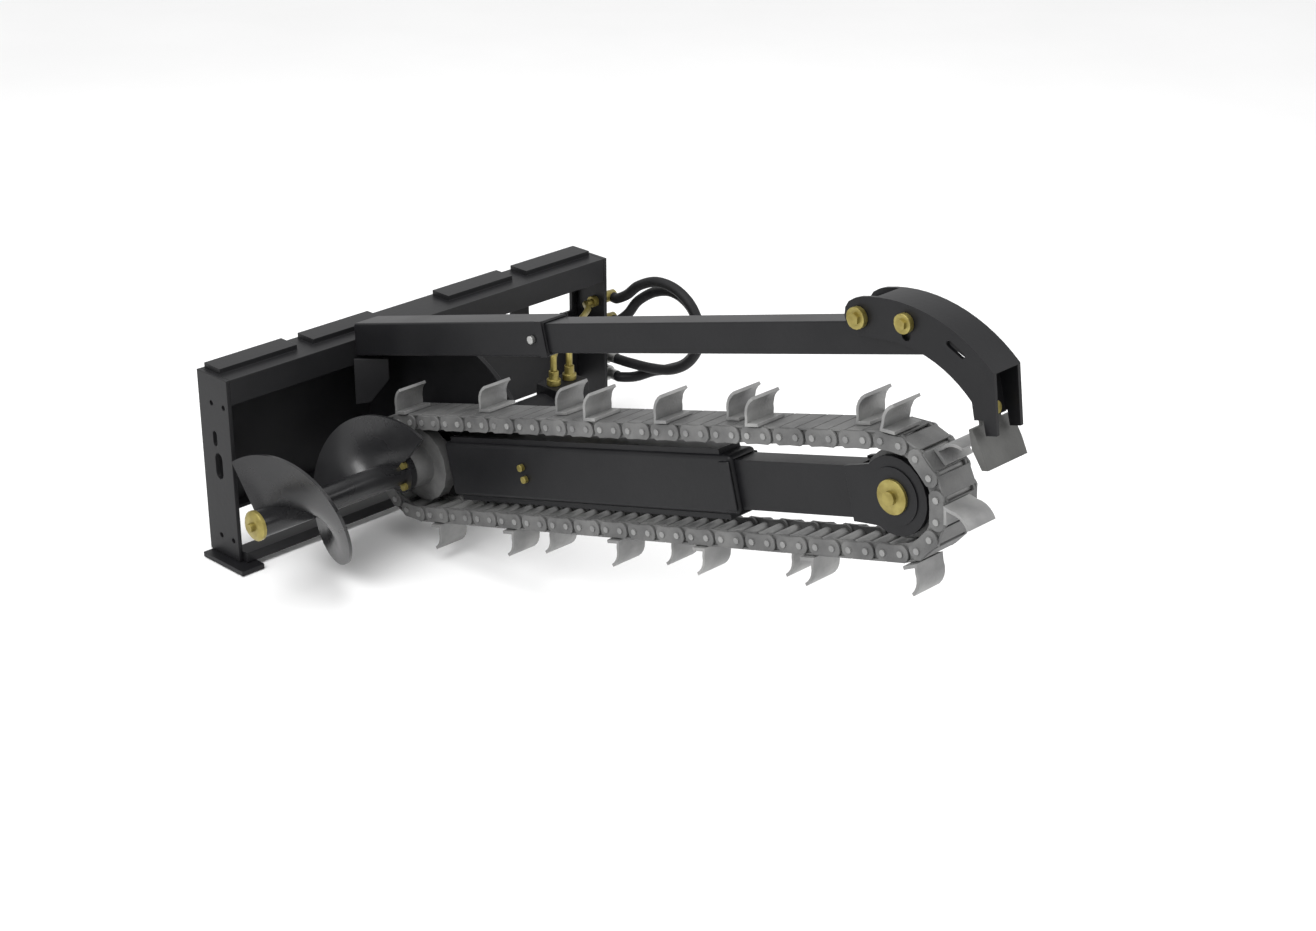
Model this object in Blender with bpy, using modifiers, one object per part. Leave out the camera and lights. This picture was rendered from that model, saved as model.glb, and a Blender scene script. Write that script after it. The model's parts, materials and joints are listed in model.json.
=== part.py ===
"""Trencher attachment for a compact loader.

A mounting frame carries a head shaft with a spoil auger and a drive sprocket, a digging boom with
a chain of cup cutters, and a crumber arm that follows the chain and cleans the trench floor.

Row frame: the origin is the centre of the mounting plate's rear face, +X is forward over the boom,
+Y runs along the head shaft towards the hydraulic motor, and +Z is up. Metres throughout.
"""

import math

import bmesh
import bpy
from mathutils import Matrix, Vector

# Driving dimensions
GAP = 0.0003  # between faces that touch
FRAME_WIDTH = 1.143
FRAME_HEIGHT = 0.434
FRAME_DEPTH = 0.108
PLATE = 0.010
RAIL_HEIGHT = 0.059
HEAD_X = 0.296  # head shaft axis
HEAD_Z = -0.036
BOOM_Y = -0.1815  # middle plane of the boom, chain and crumber
BOOM_TILT = math.radians(15.2)
PITCH = 0.042  # digging chain pitch
SPROCKET_TEETH = 16
STRAIGHT_LINKS = 34
PITCH_RADIUS = PITCH / (2 * math.sin(math.pi / SPROCKET_TEETH))
BOOM_LENGTH = STRAIGHT_LINKS * PITCH  # head shaft to nose pin
LINK_HALF_HEIGHT = 0.019
CHAIN_HALF_WIDTH = 0.052
WHEEL_RADIUS = PITCH_RADIUS - LINK_HALF_HEIGHT - 0.0022
CRUMBER_HEIGHT = 0.294  # crumber bar axis above the boom axis
HOSE_DIAMETER = 0.026

# Derived frame levels
SIDE_Y = FRAME_WIDTH / 2
TOP_Z = FRAME_HEIGHT / 2
RAIL_Z = TOP_Z - RAIL_HEIGHT
BACK_PLATE_BOTTOM = -0.125

COLOURS = {
    "frame_paint": ((0.030, 0.031, 0.033), 0.45, 0.3),
    "boom_paint": ((0.028, 0.029, 0.030), 0.40, 0.3),
    "auger_paint": ((0.045, 0.046, 0.048), 0.30, 0.4),
    "chain_steel": ((0.30, 0.30, 0.30), 0.45, 0.8),
    "cutter_steel": ((0.42, 0.42, 0.42), 0.35, 0.9),
    "zinc_yellow": ((0.45, 0.38, 0.12), 0.35, 0.9),
    "drive_paint": ((0.020, 0.020, 0.021), 0.50, 0.2),
    "hose_rubber": ((0.012, 0.012, 0.013), 0.60, 0.0),
    "shoe_steel": ((0.16, 0.16, 0.155), 0.50, 0.6),
    "bright_steel": ((0.55, 0.55, 0.55), 0.30, 1.0),
}


def clear_scene():
    for thing in list(bpy.data.objects):
        bpy.data.objects.remove(thing, do_unlink=True)


def make_collection(name):
    collection = bpy.data.collections.new(name)
    bpy.context.scene.collection.children.link(collection)
    return collection


def make_materials():
    made = {}
    for name, (colour, roughness, metallic) in COLOURS.items():
        material = bpy.data.materials.new(name)
        material.use_nodes = True
        shader = material.node_tree.nodes["Principled BSDF"]
        shader.inputs["Base Color"].default_value = (*colour, 1.0)
        shader.inputs["Roughness"].default_value = roughness
        shader.inputs["Metallic"].default_value = metallic
        made[name] = material
    return made


clear_scene()
PARTS = make_collection("trencher")
CUTTERS = make_collection("cutters")
MATERIALS = make_materials()


def make_anchor(name, location, tilt=0.0, parent=None):
    """An empty on a joint's axis or at a local frame's origin."""
    anchor = bpy.data.objects.new(name, None)
    PARTS.objects.link(anchor)
    anchor.location = location
    anchor.rotation_euler = (0.0, -tilt, 0.0)
    anchor.parent = parent
    return anchor


BOOM = make_anchor("boom_frame", (HEAD_X, BOOM_Y, HEAD_Z), BOOM_TILT)


def add_object(name, mesh, material, parent=None, location=(0, 0, 0), cutter=False):
    thing = bpy.data.objects.new(name, mesh)
    thing.parent = parent
    thing.location = location
    if cutter:
        CUTTERS.objects.link(thing)
        thing.hide_render = True
        thing.display_type = "WIRE"
    else:
        PARTS.objects.link(thing)
        mesh.materials.append(MATERIALS[material])
    return thing


def mesh_from(name, bm):
    bmesh.ops.recalc_face_normals(bm, faces=bm.faces)
    mesh = bpy.data.meshes.new(name)
    bm.to_mesh(mesh)
    bm.free()
    return mesh


def smooth(thing, degrees=35):
    thing.data.shade_smooth()
    thing.data.set_sharp_from_angle(angle=math.radians(degrees))
    return thing


def box(name, low, high, material=None, parent=None, cutter=False):
    """A box between two corners, with its origin at its middle."""
    low, high = Vector(low), Vector(high)
    bm = bmesh.new()
    bmesh.ops.create_cube(bm, size=1.0, matrix=Matrix.Diagonal((*(high - low), 1.0)))
    return add_object(name, mesh_from(name, bm), material, parent, (low + high) / 2, cutter)


def drum(name, radius, y_low, y_high, material=None, parent=None, at=(0.0, 0.0), segments=32, cutter=False):
    """A cylinder along Y at the place (x, z)."""
    bm = bmesh.new()
    turn = Matrix.Rotation(math.radians(90), 4, "X")
    bmesh.ops.create_cone(
        bm,
        cap_ends=True,
        segments=segments,
        radius1=radius,
        radius2=radius,
        depth=y_high - y_low,
        matrix=turn,
    )
    location = (at[0], (y_low + y_high) / 2, at[1])
    return smooth(add_object(name, mesh_from(name, bm), material, parent, location, cutter))


def prism(name, outline, y_low, y_high, material=None, parent=None, cutter=False, location=(0, 0, 0)):
    """A closed (x, z) outline extruded along Y."""
    bm = bmesh.new()
    face = bm.faces.new([bm.verts.new((x, y_low, z)) for x, z in outline])
    made = bmesh.ops.extrude_face_region(bm, geom=[face])
    top = [item for item in made["geom"] if isinstance(item, bmesh.types.BMVert)]
    bmesh.ops.translate(bm, verts=top, vec=(0.0, y_high - y_low, 0.0))
    return add_object(name, mesh_from(name, bm), material, parent, location, cutter)


def turned(name, profile, material, parent=None, location=(0, 0, 0), segments=24, axis="Y"):
    """A (radius, along) profile turned about an axis; a profile that starts off the axis is a ring."""
    bm = bmesh.new()
    rings = []
    for radius, along in profile:
        if radius == 0.0:
            rings.append([bm.verts.new((0.0, along, 0.0))] * segments)
            continue
        ring = []
        for i in range(segments):
            angle = 2 * math.pi * i / segments
            ring.append(bm.verts.new((radius * math.cos(angle), along, radius * math.sin(angle))))
        rings.append(ring)
    pairs = list(zip(rings, rings[1:]))
    if profile[0][0] > 0.0:
        pairs.append((rings[-1], rings[0]))
    for first, second in pairs:
        for i in range(segments):
            j = (i + 1) % segments
            corners = list(dict.fromkeys((first[i], first[j], second[j], second[i])))
            bm.faces.new(corners)
    turns = {"X": Matrix.Rotation(math.radians(-90), 4, "Z"), "Z": Matrix.Rotation(math.radians(90), 4, "X")}
    if axis in turns:
        bm.transform(turns[axis])
    return smooth(add_object(name, mesh_from(name, bm), material, parent, location))


def boolean(thing, other, operation):
    step = thing.modifiers.new(operation.lower(), "BOOLEAN")
    step.operation = operation
    step.object = other
    return thing


def cut(thing, *others):
    for other in others:
        boolean(thing, other, "DIFFERENCE")
    return thing


def join(thing, *others):
    for other in others:
        boolean(thing, other, "UNION")
    return thing


def bevel(thing, width, segments=2, angle=40):
    step = thing.modifiers.new("bevel", "BEVEL")
    step.width = width
    step.segments = segments
    step.limit_method = "ANGLE"
    step.angle_limit = math.radians(angle)
    return thing


def arc(centre, radius, start, end, steps):
    """Points along an arc of the (x, z) plane, angles in degrees."""
    points = []
    for i in range(steps + 1):
        angle = math.radians(start + (end - start) * i / steps)
        points.append((centre[0] + radius * math.cos(angle), centre[1] + radius * math.sin(angle)))
    return points


def slot_outline(centre, length, width, angle=90.0, steps=4):
    """A slot with round ends, its long axis at the angle from +X."""
    direction = Vector((math.cos(math.radians(angle)), math.sin(math.radians(angle))))
    reach = direction * (length - width) / 2
    head = (centre[0] + reach.x, centre[1] + reach.y)
    tail = (centre[0] - reach.x, centre[1] - reach.y)
    return arc(head, width / 2, angle - 90, angle + 90, steps) + arc(tail, width / 2, angle + 90, angle + 270, steps)


# ---------------------------------------------------------------- mounting frame


def back_plate():
    plate = box(
        "back_plate",
        (0.0, -SIDE_Y + PLATE + GAP, BACK_PLATE_BOTTOM),
        (PLATE, SIDE_Y - PLATE - GAP, RAIL_Z - GAP),
        "frame_paint",
    )
    hose_window = box("hose_window", (-0.02, 0.400, 0.060), (0.03, 0.545, 0.128), cutter=True)
    sight_window = box("sight_window", (-0.02, 0.262, 0.085), (0.03, 0.345, 0.140), cutter=True)
    lower_flange = box(
        "lower_flange",
        (PLATE / 2, -SIDE_Y + PLATE + GAP, BACK_PLATE_BOTTOM),
        (0.040, -0.270, BACK_PLATE_BOTTOM + 0.008),
        cutter=True,
    )
    return join(cut(plate, hose_window, sight_window), lower_flange)


def end_plates():
    low_z, high_z = -TOP_Z, TOP_Z
    left = box("left_end_plate", (0.0, -SIDE_Y, low_z), (FRAME_DEPTH, -SIDE_Y + PLATE, high_z), "frame_paint")
    holes = [
        prism("end_slot_long", slot_outline((0.058, 0.002), 0.062, 0.026), -0.60, -0.54, cutter=True),
        prism("end_slot_short", slot_outline((0.050, 0.066), 0.036, 0.014), -0.60, -0.54, cutter=True),
    ]
    for i, (x, z) in enumerate([(0.046, 0.150), (0.090, 0.150), (0.046, -0.170), (0.090, -0.170)]):
        holes.append(drum(f"end_hole_{i}", 0.006, -0.60, -0.54, at=(x, z), segments=12, cutter=True))
    cut(left, *holes)
    right = box("right_end_plate", (0.0, SIDE_Y - PLATE, low_z), (FRAME_DEPTH, SIDE_Y, high_z), "frame_paint")
    cut(right, prism("right_slot", slot_outline((0.058, 0.002), 0.062, 0.026), 0.54, 0.60, cutter=True))


def top_rail():
    rail = box(
        "top_rail",
        (0.0, -SIDE_Y + PLATE + GAP, RAIL_Z),
        (FRAME_DEPTH, SIDE_Y - PLATE - GAP, TOP_Z),
        "frame_paint",
    )
    pad_spans = [(0.098, 0.300), (0.345, 0.555)]
    for i, (inner, outer) in enumerate(pad_spans):
        for side in (-1, 1):
            low, high = sorted((side * inner, side * outer))
            pad = box(f"pad_{i}_{side}", (0.006, low, TOP_Z - 0.01), (0.064, high, TOP_Z + 0.012), cutter=True)
            join(rail, pad)


def bottom_rail():
    box(
        "bottom_rail",
        (0.078, -SIDE_Y + PLATE + GAP, -TOP_Z),
        (0.124, SIDE_Y - PLATE - GAP, -TOP_Z + 0.024),
        "frame_paint",
    )


def left_foot():
    outline = [(0.004, -0.229), (0.150, -0.229), (0.150, -0.2175), (0.004, -0.2175)]
    prism("left_foot", outline, -SIDE_Y - 0.024, -SIDE_Y + 0.036, "frame_paint")


def crumber_gusset():
    """The slanted plate between the rail and the crumber sleeve, clear of the cutters' sweep."""
    outline = [(0.0, 0.065), (0.034, 0.070), (0.078, 0.125), (0.078, 0.175), (0.0, 0.175)]
    plate = prism("crumber_gusset", outline, 0.0, 0.006, "frame_paint", location=(FRAME_DEPTH + 0.005, -0.2275, 0.0))
    plate.rotation_euler = (0.0, 0.0, math.radians(45))


def boom_side_plate():
    """The plate on the motor side that carries the gearbox and the boom."""
    head = (HEAD_X, HEAD_Z)
    low_y = BOOM_Y + 0.071
    front = arc(head, 0.285, 112, 24, 14)
    outline = [
        (PLATE + GAP, -0.110),
        (0.200, -0.165),
        (0.360, -0.150),
        (0.470, -0.060),
        *reversed(front),
        (FRAME_DEPTH + GAP, 0.215),
        (FRAME_DEPTH + GAP, RAIL_Z - GAP),
        (PLATE + GAP, RAIL_Z - GAP),
    ]
    plate = prism("boom_side_plate", outline, low_y, low_y + 0.012, "boom_paint")
    cut(plate, drum("side_plate_bore", 0.052, low_y - 0.1, low_y + 0.1, at=head, cutter=True))


# ---------------------------------------------------------------- drive


def drive():
    head = (HEAD_X, HEAD_Z)
    plate_face = BOOM_Y + 0.071 + 0.012
    drum("gearbox", 0.088, plate_face + GAP, plate_face + 0.120, "drive_paint", at=head, segments=40)
    motor_low = plate_face + 0.120 + GAP
    motor = drum("hydraulic_motor", 0.056, motor_low, 0.300, "drive_paint", at=head)
    block = box(
        "port_block",
        (HEAD_X - 0.034, 0.190, HEAD_Z + 0.03),
        (HEAD_X + 0.034, 0.296, HEAD_Z + 0.074),
        cutter=True,
    )
    join(motor, block)


def tube(name, points, diameter, material, resolution=3):
    """A hose or hard line on a smooth curve through the points."""
    path = smooth_path([Vector(point) for point in points], diameter * 2.2)
    data = bpy.data.curves.new(name, "CURVE")
    data.dimensions = "3D"
    data.bevel_depth = diameter / 2
    data.bevel_resolution = resolution
    data.use_fill_caps = True
    spline = data.splines.new("POLY")
    spline.points.add(len(path) - 1)
    for place, point in zip(spline.points, path):
        place.co = (*point, 1.0)
    thing = bpy.data.objects.new(name, data)
    data.materials.append(MATERIALS[material])
    PARTS.objects.link(thing)
    return thing


def smooth_path(points, step):
    """Points about a step apart on a Catmull-Rom curve through the given points."""
    ends = [points[0] * 2 - points[1], *points, points[-1] * 2 - points[-2]]
    path = [points[0]]
    for before, start, end, after in zip(ends, ends[1:], ends[2:], ends[3:]):
        count = max(1, round((end - start).length / step))
        for i in range(1, count + 1):
            t = i / count
            path.append(
                0.5
                * (
                    2 * start
                    + (end - before) * t
                    + (2 * before - 5 * start + 4 * end - after) * t**2
                    + (3 * start - before - 3 * end + after) * t**3
                )
            )
    return path


HOSE_ROUTES = {
    "a": [
        (0.090, 0.612, 0.100),
        (0.104, 0.612, 0.100),
        (0.136, 0.616, 0.118),
        (0.170, 0.622, 0.148),
        (0.225, 0.628, 0.170),
        (0.285, 0.632, 0.166),
        (0.337, 0.634, 0.136),
        (0.366, 0.634, 0.085),
        (0.362, 0.632, 0.028),
        (0.328, 0.628, -0.018),
        (0.277, 0.624, -0.046),
        (0.215, 0.620, -0.058),
        (0.150, 0.616, -0.062),
        (0.112, 0.614, -0.063),
        (0.098, 0.614, -0.063),
    ],
    "b": [
        (0.090, 0.612, 0.040),
        (0.104, 0.612, 0.040),
        (0.126, 0.628, 0.062),
        (0.145, 0.645, 0.096),
        (0.188, 0.662, 0.126),
        (0.243, 0.670, 0.136),
        (0.298, 0.671, 0.115),
        (0.331, 0.668, 0.068),
        (0.330, 0.662, 0.012),
        (0.295, 0.658, -0.034),
        (0.243, 0.655, -0.062),
        (0.190, 0.650, -0.082),
        (0.145, 0.634, -0.104),
        (0.112, 0.614, -0.109),
        (0.098, 0.614, -0.109),
    ],
}


def hydraulics():
    """Two hard lines from the motor to the end plate, then two hose loops back to parked couplers."""
    for i, (letter, route) in enumerate(HOSE_ROUTES.items()):
        start, end = Vector(route[0]), Vector(route[-1])
        port_y = 0.215 + 0.050 * i
        port_top = HEAD_Z + 0.074
        turned(
            f"motor_fitting_{letter}",
            [(0.0, 0.034), (0.012, 0.034), (0.012, 0.014), (0.017, 0.014), (0.017, 0.0), (0.0, 0.0)],
            "zinc_yellow",
            location=(HEAD_X, port_y, port_top + GAP),
            segments=12,
            axis="Z",
        )
        line = [
            (HEAD_X, port_y, port_top + 0.034 + 2 * GAP),
            (HEAD_X, port_y, port_top + 0.046),
            (HEAD_X - 0.006, port_y + 0.006, port_top + 0.064),
            (HEAD_X - 0.035, port_y + 0.045, port_top + 0.080 - 0.012 * i),
            (0.190 - 0.012 * i, 0.400, start.z + 0.020),
            (0.115, 0.500, start.z + 0.004),
            (0.076, 0.528, start.z),
            (0.076, 0.548 - GAP, start.z),
        ]
        tube(f"hard_line_{letter}", line, 0.016, "zinc_yellow", resolution=2)
        tube(f"hose_{letter}", route, HOSE_DIAMETER, "hose_rubber")
        bulkhead(letter, start)
        coupler(letter, end)
    holder = box("coupler_holder", (0.020, SIDE_Y + GAP, -0.130), (0.032, SIDE_Y + 0.066, -0.040), "frame_paint")
    for letter, route in HOSE_ROUTES.items():
        at = (0.026, route[-1][1], route[-1][2])
        bore = turned_cutter(f"holder_bore_{letter}", 0.0143, at)
        cut(holder, bore)


def turned_cutter(name, radius, at):
    """A short cylinder along X, used as a cutter."""
    bm = bmesh.new()
    turn = Matrix.Rotation(math.radians(90), 4, "Y")
    bmesh.ops.create_cone(bm, cap_ends=True, segments=20, radius1=radius, radius2=radius, depth=0.06, matrix=turn)
    return add_object(name, mesh_from(name, bm), None, None, at, cutter=True)


def bulkhead(letter, start):
    """An elbow through the end plate: a stub inside, a body outside and a nose that the hose fits."""
    stub_hole = drum(
        f"bulkhead_hole_{letter}", 0.0143, SIDE_Y - 0.05, SIDE_Y + 0.05, at=(0.076, start.z), segments=20, cutter=True
    )
    cut(bpy.data.objects["right_end_plate"], stub_hole)
    stub = drum(f"bulkhead_{letter}", 0.014, 0.548, start.y + 0.014, "zinc_yellow", at=(0.076, start.z), segments=20)
    nose = turned_cutter(f"bulkhead_nose_{letter}", 0.0135, (start.x - GAP - 0.03, start.y, start.z))
    trim = box(
        f"bulkhead_trim_{letter}",
        (0.0, start.y - 0.02, start.z - 0.02),
        (0.070, start.y + 0.02, start.z + 0.02),
        cutter=True,
    )
    join(stub, cut(nose, trim))


def coupler(letter, end):
    """A quick coupler on the hose's end, parked in the holder."""
    profile = [
        (0.0, 0.0),
        (0.0135, 0.0),
        (0.0135, -0.026),
        (0.019, -0.026),
        (0.019, -0.046),
        (0.014, -0.046),
        (0.014, -0.094),
        (0.0, -0.094),
    ]
    place = (end.x - GAP, end.y, end.z)
    turned(f"coupler_{letter}", profile, "bright_steel", location=place, segments=20, axis="X")


# ---------------------------------------------------------------- head shaft, sprocket and auger

AUGER_START = -0.648
AUGER_END = -0.262
AUGER_PITCH = 0.305
FLIGHT_RADIUS = 0.147
HUB_RADIUS = 0.030


def flight_mesh(name, start, end, first_angle, thickness):
    """A helical blade: a loft between the hub and the rim, one step every ten degrees."""
    turns = (end - start) / AUGER_PITCH
    steps = round(turns * 30)
    bm = bmesh.new()
    rings = []
    for i in range(steps + 1):
        y = start + (end - start) * i / steps
        angle = first_angle - 2 * math.pi * turns * i / steps
        rim = Vector((math.cos(angle), 0.0, math.sin(angle)))
        ring = []
        for radius, side in ((0.026, -1), (FLIGHT_RADIUS, -1), (FLIGHT_RADIUS, 1), (0.026, 1)):
            place = rim * radius + Vector((0.0, y + side * thickness / 2, 0.0))
            ring.append(bm.verts.new(place))
        rings.append(ring)
    for first, second in zip(rings, rings[1:]):
        for j in range(4):
            k = (j + 1) % 4
            bm.faces.new((first[j], first[k], second[k], second[j]))
    bm.faces.new(rings[0])
    bm.faces.new(list(reversed(rings[-1])))
    return mesh_from(name, bm)


def head_group():
    head = make_anchor("head_axis", (HEAD_X, 0.0, HEAD_Z))
    drum("head_shaft", 0.022, AUGER_START + 0.004, BOOM_Y + 0.066, "bright_steel", head, segments=24)
    sprocket = drum("drive_sprocket", WHEEL_RADIUS, BOOM_Y - 0.014, BOOM_Y + 0.014, "chain_steel", head, segments=16)
    hub = drum("sprocket_hub", 0.046, -0.262 + 0.016 + GAP, BOOM_Y + 0.050, parent=head, cutter=True)
    bore = drum("sprocket_bore", 0.0223, -0.30, 0.0, parent=head, segments=24, cutter=True)
    cut(join(sprocket, hub), bore)
    auger = drum("spoil_auger", HUB_RADIUS, AUGER_START, AUGER_END, "auger_paint", head, segments=24)
    flight = add_object(
        "flight",
        flight_mesh("flight", AUGER_START + 0.012, AUGER_END - 0.002, math.radians(128), 0.008),
        None,
        head,
        cutter=True,
    )
    flange = drum("auger_flange", 0.048, AUGER_END, AUGER_END + 0.016, parent=head, cutter=True)
    auger_bore = drum("auger_bore", 0.0223, AUGER_START - 0.01, AUGER_END + 0.03, parent=head, segments=24, cutter=True)
    cut(join(auger, flight, flange), auger_bore)
    cap = [
        (0.0, 0.0),
        (0.034, 0.0),
        (0.034, -0.008),
        (0.026, -0.014),
        (0.010, -0.014),
        (0.010, -0.024),
        (0.0, -0.024),
    ]
    turned("auger_end_cap", cap, "zinc_yellow", head, (0.0, AUGER_START - GAP, 0.0), segments=20)


# ---------------------------------------------------------------- boom and nose

BOOM_HALF_WIDTH = 0.038
BOOM_HALF_HEIGHT = 0.062
BOOM_START = 0.128
BOOM_END = 1.020
CAVITY_HALF_WIDTH = 0.028
CAVITY_HALF_HEIGHT = 0.052
EXTENSION_HALF_WIDTH = 0.027
EXTENSION_HALF_HEIGHT = 0.0505
CHEEK_RADIUS = 0.077
IDLER_HALF_WIDTH = 0.026


def boom_tube():
    tube_body = box(
        "boom_tube",
        (BOOM_START, -BOOM_HALF_WIDTH, -BOOM_HALF_HEIGHT),
        (BOOM_END, BOOM_HALF_WIDTH, BOOM_HALF_HEIGHT),
        "boom_paint",
        BOOM,
    )
    bevel(tube_body, 0.011, 3)
    cavity = box(
        "boom_cavity",
        (0.40, -CAVITY_HALF_WIDTH, -CAVITY_HALF_HEIGHT),
        (BOOM_END + 0.1, CAVITY_HALF_WIDTH, CAVITY_HALF_HEIGHT),
        parent=BOOM,
        cutter=True,
    )
    block = box("boom_block", (0.165, 0.030, -0.045), (0.275, 0.071 - GAP, 0.045), parent=BOOM, cutter=True)
    join(cut(tube_body, cavity), block)


def boom_extension():
    bar = box(
        "boom_extension",
        (0.52, -EXTENSION_HALF_WIDTH, -EXTENSION_HALF_HEIGHT),
        (BOOM_LENGTH - WHEEL_RADIUS - 0.006, EXTENSION_HALF_WIDTH, EXTENSION_HALF_HEIGHT),
        "boom_paint",
        BOOM,
    )
    hollow = box("extension_hollow", (0.40, -0.019, -0.0425), (1.28, 0.019, 0.0425), parent=BOOM, cutter=True)
    cut(bar, hollow)
    disc = arc((BOOM_LENGTH, 0.0), CHEEK_RADIUS, 130, -130, 16)
    outline = [(1.318, 0.054), *disc, (1.318, -0.054)]
    for side in (-1, 1):
        low, high = sorted((side * (IDLER_HALF_WIDTH + 0.0006), side * (IDLER_HALF_WIDTH + 0.0126)))
        cheek = prism(f"nose_cheek_{side}", outline, low, high, parent=BOOM, cutter=True)
        join(bar, cheek)
    cut(bar, drum("nose_bore", 0.0163, -0.1, 0.1, parent=BOOM, at=(BOOM_LENGTH, 0.0), segments=20, cutter=True))


def nose_group():
    nose = make_anchor("nose_axis", (BOOM_LENGTH, 0.0, 0.0), parent=BOOM)
    rim, hub = WHEEL_RADIUS, 0.034
    width = IDLER_HALF_WIDTH
    profile = [
        (0.0166, width),
        (hub, width),
        (hub, width - 0.006),
        (rim, width - 0.006),
        (rim, -width + 0.006),
        (hub, -width + 0.006),
        (hub, -width),
        (0.0166, -width),
    ]
    turned("nose_idler", profile, "chain_steel", nose, segments=32)
    face = IDLER_HALF_WIDTH + 0.0126 + GAP
    pin = [
        (0.0, face + 0.018),
        (0.013, face + 0.018),
        (0.013, face + 0.007),
        (0.030, face + 0.007),
        (0.030, face),
        (0.016, face),
        (0.016, -face),
        (0.034, -face),
        (0.034, -face - 0.008),
        (0.014, -face - 0.010),
        (0.014, -face - 0.018),
        (0.0, -face - 0.018),
    ]
    turned("nose_pin", pin, "zinc_yellow", nose, segments=24)


def adjuster_bolts():
    """The two zinc screws that hold the chain tension, on the near face of the boom."""
    for i, (s, w) in enumerate([(0.387, 0.014), (0.391, -0.012)]):
        profile = [(0.0, 0.0), (0.008, 0.0), (0.008, -0.010), (0.0, -0.010)]
        place = (s, -BOOM_HALF_WIDTH - GAP, w)
        turned(f"adjuster_bolt_{i + 1}", profile, "zinc_yellow", BOOM, place, segments=12)


# ---------------------------------------------------------------- digging chain

LINKS = 2 * STRAIGHT_LINKS + SPROCKET_TEETH
WRAP_LINKS = SPROCKET_TEETH // 2


def chain_point(link, offset=0.0):
    """The place and outward angle of the chain at a link number, in the boom's (x, z) plane."""
    radius = PITCH_RADIUS + offset
    link %= LINKS
    if link <= STRAIGHT_LINKS:
        return (link * PITCH, radius), 90.0
    if link < STRAIGHT_LINKS + WRAP_LINKS:
        angle = 90.0 - (link - STRAIGHT_LINKS) * 180 / WRAP_LINKS
        place = arc((BOOM_LENGTH, 0.0), radius, angle, angle, 1)[0]
        return place, angle
    if link <= 2 * STRAIGHT_LINKS + WRAP_LINKS:
        return (BOOM_LENGTH - (link - STRAIGHT_LINKS - WRAP_LINKS) * PITCH, -radius), -90.0
    angle = -90.0 - (link - 2 * STRAIGHT_LINKS - WRAP_LINKS) * 180 / WRAP_LINKS
    return arc((0.0, 0.0), radius, angle, angle, 1)[0], angle


def digging_chain():
    """The chain as one closed loop that fills its side bars' outer form."""
    stops = [0, *range(STRAIGHT_LINKS, STRAIGHT_LINKS + WRAP_LINKS + 1)]
    stops += range(2 * STRAIGHT_LINKS + WRAP_LINKS, LINKS)
    fine = []
    for first, second in zip(stops, stops[1:] + [LINKS]):
        fine.append(first)
        if second - first == 1:
            fine.append(first + 0.5)
    outer = [chain_point(link, LINK_HALF_HEIGHT)[0] for link in fine]
    inner = [chain_point(link, -LINK_HALF_HEIGHT)[0] for link in fine]
    loop = prism("digging_chain", outer, -CHAIN_HALF_WIDTH, CHAIN_HALF_WIDTH, "chain_steel", BOOM)
    hole = prism("chain_inside", inner, -CHAIN_HALF_WIDTH - 0.01, CHAIN_HALF_WIDTH + 0.01, parent=BOOM, cutter=True)
    cut(loop, hole)


# A cutter's place along the chain in links, and its side: -1 near the auger, 1 near the motor.
CUTTER_PLACES = [
    (0.5, -1),
    (6.5, 1),
    (12.5, 1),
    (15.5, -1),
    (20.5, -1),
    (24.5, 1),
    (26.5, -1),
    (32.5, 1),
    (34.5, -1),
    (36.5, 1),
    (38.5, -1),
    (41.5, -1),
    (47.5, -1),
    (49.5, 1),
    (54.5, -1),
    (57.5, 1),
    (60.5, -1),
    (66.5, 1),
    (68.5, -1),
    (74.5, -1),
]
CUTTER_HALF_WIDTH = 0.038
CUTTER_OFFSET = 0.018
CUTTER_BASE = 0.007  # thickness of the plate on the link
BLADE_THICKNESS = 0.0065
BLADE_RADIUS = 0.045


def cutter_outline():
    """A base on the link and a blade that rises and curves over forward, in (along, outward) axes."""
    centre = (0.032, 0.017)
    blade_back = arc(centre, BLADE_RADIUS, 180, 112, 5)
    blade_front = arc(centre, BLADE_RADIUS - BLADE_THICKNESS, 112, 180, 5)
    return [(-0.018, 0.0), *blade_back, *blade_front, (-0.0095, CUTTER_BASE), (0.018, CUTTER_BASE), (0.018, 0.0)]


def cup_cutters():
    for i, (link, side) in enumerate(CUTTER_PLACES):
        name = f"cup_cutter_{i + 1:02d}"
        middle = side * CUTTER_OFFSET
        cutter = prism(
            name, cutter_outline(), middle - CUTTER_HALF_WIDTH, middle + CUTTER_HALF_WIDTH, "cutter_steel", BOOM
        )
        place, angle = chain_point(link, LINK_HALF_HEIGHT + 0.0005)
        cutter.location = (place[0], 0.0, place[1])
        cutter.rotation_euler = (0.0, math.radians(90 - angle), 0.0)


# ---------------------------------------------------------------- crumber

BAR_HALF_HEIGHT = 0.0315
BAR_HALF_WIDTH = 0.0295
SLEEVE_WALL = 0.0055
SLEEVE_CLEARANCE = 0.0005
ARM_CENTRE = (1.435, 0.045)
ARM_OUTER = 0.327
ARM_INNER = 0.250
PIVOT = (1.418, 0.335)
SLOT_BOLT = (1.526, 0.324)
ARM_SWING = 12.0  # degrees
ARM_HALF_WIDTH = 0.038
ARM_WEB = 1.652  # back face of the web that the shoe's stem slides on
SHOE_BACK = 1.6435
SHOE_BOLT_HEIGHT = 0.162


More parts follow.
